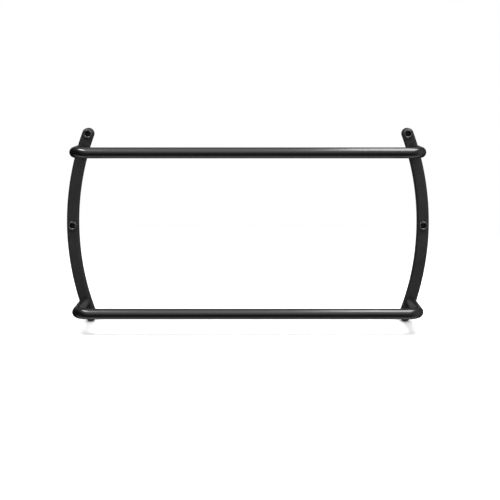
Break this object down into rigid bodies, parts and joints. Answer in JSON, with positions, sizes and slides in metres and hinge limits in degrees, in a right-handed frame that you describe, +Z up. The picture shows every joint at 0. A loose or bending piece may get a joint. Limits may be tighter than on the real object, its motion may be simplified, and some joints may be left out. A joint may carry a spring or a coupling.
{
  "type": "kip bar",
  "caption": "Wall-mounted double kip bar: two round grip bars on bent-back legs, screwed to bowed side rails with collared wall screws.",
  "frame": {"origin": "centre of the wall plane, midway between the two rails and between the two bars", "axes": "+X to the right along the bars as seen by the user, +Y into the wall, +Z up; the bars stand off towards -Y"},
  "size_m": [0.89, 0.2592, 0.478],
  "materials": {
    "gloss_black_paint": "gloss black powder coat on steel tube",
    "rough_black_paint": "matt black fine-texture powder coat",
    "satin_black_steel": "satin black turned steel",
    "plain_steel": "plain turned steel",
    "zinc_plate": "bright zinc plate",
    "black_oxide": "black oxide"
  },
  "bodies": {
    "root": {"upper_bar": "gloss_black_paint", "lower_bar": "gloss_black_paint", "left_side_rail": "rough_black_paint", "right_side_rail": "rough_black_paint", "left_top_mounting_sleeve": "satin_black_steel", "left_top_wall_screw": "black_oxide", "left_middle_mounting_sleeve": "satin_black_steel", "left_middle_wall_screw": "black_oxide", "left_bottom_mounting_sleeve": "satin_black_steel", "left_bottom_wall_screw": "black_oxide", "right_top_mounting_sleeve": "satin_black_steel", "right_top_wall_screw": "black_oxide", "right_middle_mounting_sleeve": "satin_black_steel", "right_middle_wall_screw": "black_oxide", "right_bottom_mounting_sleeve": "satin_black_steel", "right_bottom_wall_screw": "black_oxide", "upper_left_end_plug": "plain_steel", "upper_left_washer": "zinc_plate", "upper_left_bar_screw": "black_oxide", "upper_right_end_plug": "plain_steel", "upper_right_washer": "zinc_plate", "upper_right_bar_screw": "black_oxide", "lower_left_end_plug": "plain_steel", "lower_left_washer": "zinc_plate", "lower_left_bar_screw": "black_oxide", "lower_right_end_plug": "plain_steel", "lower_right_washer": "zinc_plate", "lower_right_bar_screw": "black_oxide"}
  },
  "joints": []
}
